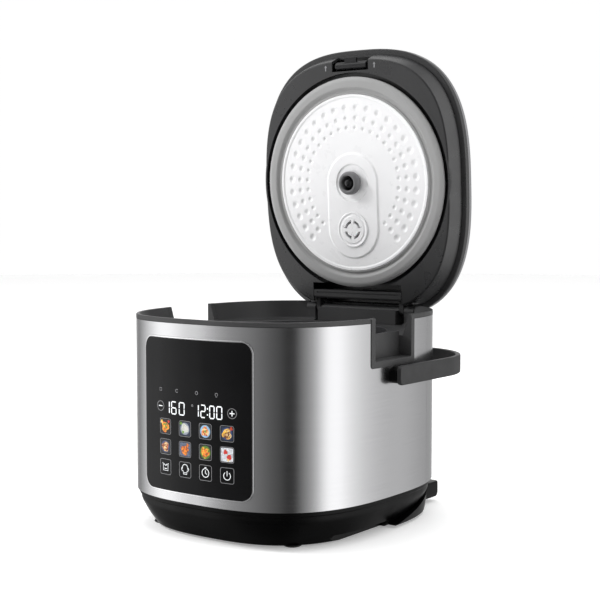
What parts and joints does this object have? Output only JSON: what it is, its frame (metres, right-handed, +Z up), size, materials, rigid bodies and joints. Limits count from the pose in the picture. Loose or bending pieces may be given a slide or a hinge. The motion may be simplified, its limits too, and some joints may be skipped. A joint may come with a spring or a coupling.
{
  "type": "electric multicooker with hinged lid",
  "caption": "Squarish countertop multicooker with a brushed metal wrap, touch panel, side grip notches, swinging rear handle and a large hinged lid shown open.",
  "frame": {"origin": "on the surface the feet stand on, under the middle of the whole object's box with the lid open and the handle stored", "axes": "+Z up, the control panel faces -Y, +X to the right seen from the front"},
  "size_m": [0.304, 0.3332, 0.5178],
  "materials": {
    "base_black": "satin moulded plastic",
    "foot_rubber": "matte",
    "fastener_steel": "bright zinc plate",
    "brushed_wrap": "fine horizontal brushing",
    "collar_plastic": "satin, fine grain",
    "well_aluminium": "spun",
    "non_stick": "non-stick coating",
    "panel_gloss": "polished",
    "panel_trim": "bright",
    "circuit_board": "solder mask",
    "handle_plastic": "matte, fine grain",
    "inner_lid_metal": "satin white-anodised",
    "seal_silicone": "smooth silicone"
  },
  "bodies": {
    "body": {"base_shell": "base_black", "bottom_cover": "base_black", "foot_front_left": "foot_rubber", "foot_front_right": "foot_rubber", "foot_rear_left": "foot_rubber", "foot_rear_right": "foot_rubber", "cover_screw_front_left": "fastener_steel", "cover_screw_front_right": "fastener_steel", "cover_screw_rear_left": "fastener_steel", "cover_screw_rear_right": "fastener_steel", "power_inlet": "base_black", "steel_wrap_front": "brushed_wrap", "steel_wrap_rear": "brushed_wrap", "collar": "collar_plastic", "latch_keeper": "fastener_steel", "grip_pocket_left": "collar_plastic", "grip_pocket_right": "collar_plastic", "heat_shield": "well_aluminium", "heating_plate": "well_aluminium", "sensor_bracket": "well_aluminium", "power_board": "circuit_board", "display_board": "circuit_board", "control_panel": "panel_gloss", "panel_bezel": "panel_trim", "panel_carrier": "base_black", "hinge_cover": "collar_plastic", "hinge_shaft": "fastener_steel", "torsion_spring_left": "fastener_steel", "torsion_spring_right": "fastener_steel", "pivot_boss_left": "base_black", "pivot_boss_right": "base_black"},
    "pot": {"inner_pot": "non_stick"},
    "sensor": {"sensor_plunger": "well_aluminium", "sensor_spring": "fastener_steel"},
    "handle": {"handle_bail": "handle_plastic"},
    "lid": {"lid_shell": "collar_plastic", "lid_top_plate": "brushed_wrap", "lid_liner": "collar_plastic", "centre_post": "fastener_steel", "hinge_bracket": "collar_plastic", "bracket_screw_left": "fastener_steel", "bracket_screw_right": "fastener_steel", "latch_pin": "fastener_steel", "steam_valve_body": "collar_plastic"},
    "latch": {"latch_pawl": "collar_plastic"},
    "button": {"release_button": "collar_plastic", "button_spring": "fastener_steel"},
    "vent_cap": {"steam_vent_cap": "handle_plastic"},
    "inner_lid": {"inner_lid_plate": "inner_lid_metal", "seal_ring": "seal_silicone", "centre_grommet": "seal_silicone", "steam_port": "inner_lid_metal"}
  },
  "joints": [
    {"name": "lid_hinge", "type": "hinge", "parent": "body", "child": "lid", "pos_m": [0, 0.1355, 0.2169], "axis": [-1, 0, 0], "range_deg": [-86.7, 0], "stiffness_Nm_per_rad": 0.8, "springref_deg": 68.75},
    {"name": "handle_swing", "type": "hinge", "parent": "body", "child": "handle", "pos_m": [0, -0.0116, 0.1646], "axis": [1, 0, 0], "range_deg": [0, 12]},
    {"name": "pot_lift", "type": "slide", "parent": "body", "child": "pot", "axis": [0, 0, 1], "range_m": [0, 0.12]},
    {"name": "sensor_press", "type": "slide", "parent": "body", "child": "sensor", "axis": [0, 0, -1], "range_m": [0, 0.002], "stiffness_N_per_m": 600, "springref_m": -0.004, "deforming": ["sensor_spring"]},
    {"name": "button_press", "type": "slide", "parent": "lid", "child": "button", "axis": [0, -0.9983, -0.0576], "range_m": [0, 0.003], "stiffness_N_per_m": 700, "springref_m": -0.003},
    {"name": "latch_turn", "type": "hinge", "parent": "lid", "child": "latch", "pos_m": [0, 0.11948, 0.49654], "axis": [1, 0, 0], "range_deg": [0, 8.1]},
    {"name": "vent_cap_pull", "type": "slide", "parent": "lid", "child": "vent_cap", "axis": [0, 0.9983, 0.0576], "range_m": [0, 0.012]},
    {"name": "inner_lid_unclip", "type": "slide", "parent": "lid", "child": "inner_lid", "axis": [0, -0.9983, -0.0576], "range_m": [0, 0.008]}
  ],
  "couplings": [
    {"joint": "latch_turn", "follows": "button_press", "rad_per_m": 46.5}
  ]
}
